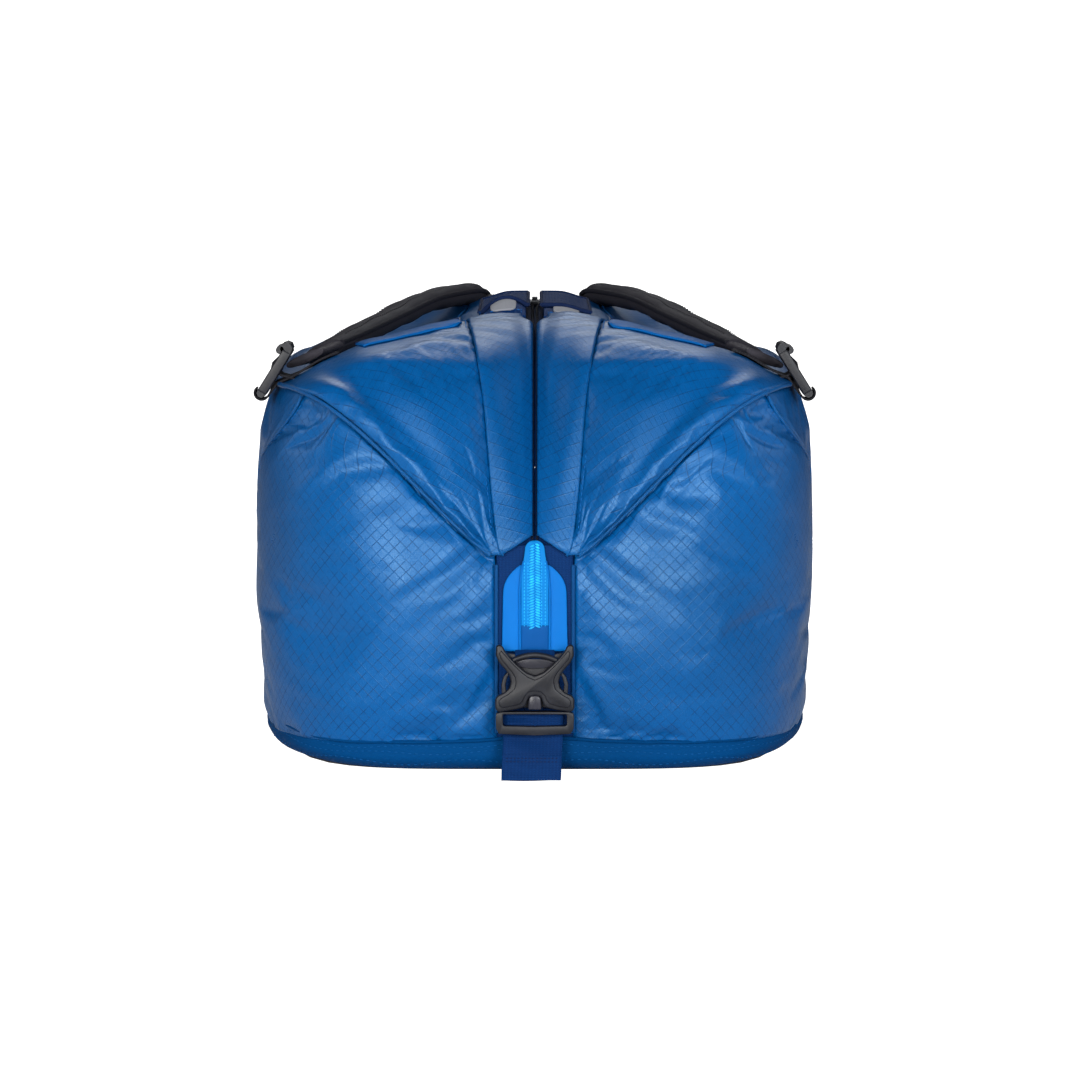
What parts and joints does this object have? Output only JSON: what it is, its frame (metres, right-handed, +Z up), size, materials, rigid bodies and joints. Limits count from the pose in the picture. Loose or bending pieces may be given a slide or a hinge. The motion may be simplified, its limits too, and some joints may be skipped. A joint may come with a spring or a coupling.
{
  "type": "ski boot bag",
  "caption": "Soft duffel-style ski boot bag with a lengthways zip, two folding lids, end buckles, haul handles and shoulder straps.",
  "frame": {"origin": "centre of the box around the bag, on the floor", "axes": "+Z up, +Y along the bag, the pictured end at -Y"},
  "size_m": [0.366, 0.6198, 0.307],
  "materials": {
    "base_cloth": "heavy matt coated cloth, quilt-stitched",
    "board": "stiff sheet",
    "body_cloth": "coated diamond ripstop with a soft sheen",
    "centre_webbing": "flat woven strip",
    "tab_cloth": "bright smooth cloth",
    "zip_bright": "bright woven coil zip",
    "stop_cloth": "smooth cloth",
    "navy_webbing": "woven webbing",
    "buckle_plastic": "moulded, satin",
    "zip_dark": "woven coil zip",
    "band_cloth": "smooth cloth",
    "patch_grey": "plain light patch",
    "slider_metal": "dark enamel",
    "strap_cloth": "dark padded mesh and cloth",
    "black_webbing": "woven webbing"
  },
  "bodies": {
    "tub": {"base_panel": "base_cloth", "base_board": "board", "side_left": "body_cloth", "side_right": "body_cloth", "front_end_left": "body_cloth", "front_end_right": "body_cloth", "back_end_left": "body_cloth", "back_end_right": "body_cloth", "front_strip": "centre_webbing", "front_tab": "tab_cloth", "front_zip_end": "zip_bright", "front_stop": "stop_cloth", "front_tail": "navy_webbing", "front_male": "buckle_plastic", "back_strip": "centre_webbing", "back_tab": "tab_cloth", "back_zip_end": "zip_bright", "back_stop": "stop_cloth", "back_tail": "navy_webbing", "back_male": "buckle_plastic"},
    "front_buckle": {"front_female": "buckle_plastic", "front_loop": "navy_webbing"},
    "front_left_prong": {"front_prong_left": "buckle_plastic"},
    "front_right_prong": {"front_prong_right": "buckle_plastic"},
    "back_buckle": {"back_female": "buckle_plastic", "back_loop": "navy_webbing"},
    "back_left_prong": {"back_prong_left": "buckle_plastic"},
    "back_right_prong": {"back_prong_right": "buckle_plastic"},
    "left_lid": {"lid_left": "body_cloth", "flap_left": "body_cloth", "tape_left": "zip_dark", "coil_left": "zip_dark", "band_left": "band_cloth", "handle_legs_left": "navy_webbing", "handle_patch_left": "patch_grey", "anchor_left": "strap_cloth", "lock_anchor_left": "black_webbing"},
    "left_haul_grip": {"grip_left": "navy_webbing"},
    "left_strap": {"pad_left": "strap_cloth", "tongue_left": "strap_cloth"},
    "left_ladder_lock": {"lock_left": "buckle_plastic", "lock_web_left": "black_webbing"},
    "right_lid": {"lid_right": "body_cloth", "flap_right": "body_cloth", "tape_right": "zip_dark", "coil_right": "zip_dark", "band_right": "band_cloth", "handle_legs_right": "navy_webbing", "handle_patch_right": "patch_grey", "anchor_right": "strap_cloth", "lock_anchor_right": "black_webbing"},
    "right_haul_grip": {"grip_right": "navy_webbing"},
    "right_strap": {"pad_right": "strap_cloth", "tongue_right": "strap_cloth"},
    "right_ladder_lock": {"lock_right": "buckle_plastic", "lock_web_right": "black_webbing"},
    "zip_slider": {"slider": "slider_metal"},
    "zip_pull": {"pull": "slider_metal"}
  },
  "joints": [
    {"name": "left_lid_open", "type": "hinge", "parent": "tub", "child": "left_lid", "pos_m": [-0.1755, 0, 0.24], "axis": [0, -1, 0], "range_deg": [0, 115]},
    {"name": "right_lid_open", "type": "hinge", "parent": "tub", "child": "right_lid", "pos_m": [0.1755, 0, 0.24], "axis": [0, 1, 0], "range_deg": [0, 115]},
    {"name": "front_buckle_release", "type": "slide", "parent": "tub", "child": "front_buckle", "axis": [0, 0, 1], "range_m": [0, 0.028]},
    {"name": "front_prong_left_squeeze", "type": "hinge", "parent": "tub", "child": "front_left_prong", "pos_m": [-0.0146, -0.3023, 0.048], "axis": [0, 1, 0], "range_deg": [0, 7], "stiffness_Nm_per_rad": 0.3},
    {"name": "front_prong_right_squeeze", "type": "hinge", "parent": "tub", "child": "front_right_prong", "pos_m": [0.0146, -0.3023, 0.048], "axis": [0, -1, 0], "range_deg": [0, 7], "stiffness_Nm_per_rad": 0.3},
    {"name": "back_buckle_release", "type": "slide", "parent": "tub", "child": "back_buckle", "axis": [0, 0, 1], "range_m": [0, 0.028]},
    {"name": "back_prong_left_squeeze", "type": "hinge", "parent": "tub", "child": "back_left_prong", "pos_m": [-0.0146, 0.3023, 0.048], "axis": [0, 1, 0], "range_deg": [0, 7], "stiffness_Nm_per_rad": 0.3},
    {"name": "back_prong_right_squeeze", "type": "hinge", "parent": "tub", "child": "back_right_prong", "pos_m": [0.0146, 0.3023, 0.048], "axis": [0, -1, 0], "range_deg": [0, 7], "stiffness_Nm_per_rad": 0.3},
    {"name": "zip_slide", "type": "slide", "parent": "right_lid", "child": "zip_slider", "axis": [0, -1, 0], "range_m": [0, 0.236]},
    {"name": "zip_pull_lift", "type": "hinge", "parent": "zip_slider", "child": "zip_pull", "pos_m": [0, 0.1156, 0.28595], "axis": [-1, 0, 0], "range_deg": [0, 165]},
    {"name": "left_haul_grip_swing", "type": "hinge", "parent": "left_lid", "child": "left_haul_grip", "pos_m": [-0.026, 0, 0.285], "axis": [0, -1, 0], "range_deg": [-8, 25]},
    {"name": "left_strap_swing", "type": "hinge", "parent": "left_lid", "child": "left_strap", "pos_m": [-0.14942, -0.20038, 0.262], "axis": [-0.2653, -0.9616, -0.0698], "range_deg": [-8, 12]},
    {"name": "left_ladder_lock_tilt", "type": "hinge", "parent": "left_lid", "child": "left_ladder_lock", "pos_m": [-0.17742, -0.20038, 0.239], "axis": [0, -1, 0], "range_deg": [0, 35]},
    {"name": "right_haul_grip_swing", "type": "hinge", "parent": "right_lid", "child": "right_haul_grip", "pos_m": [0.026, 0, 0.285], "axis": [0, 1, 0], "range_deg": [-8, 25]},
    {"name": "right_strap_swing", "type": "hinge", "parent": "right_lid", "child": "right_strap", "pos_m": [0.14942, -0.20038, 0.262], "axis": [-0.2653, 0.9616, 0.0698], "range_deg": [-8, 12]},
    {"name": "right_ladder_lock_tilt", "type": "hinge", "parent": "right_lid", "child": "right_ladder_lock", "pos_m": [0.17742, -0.20038, 0.239], "axis": [0, 1, 0], "range_deg": [0, 35]}
  ],
  "couplings": [
    {"joint": "front_prong_left_squeeze", "follows": "front_prong_right_squeeze", "ratio": 1},
    {"joint": "back_prong_left_squeeze", "follows": "back_prong_right_squeeze", "ratio": 1}
  ]
}
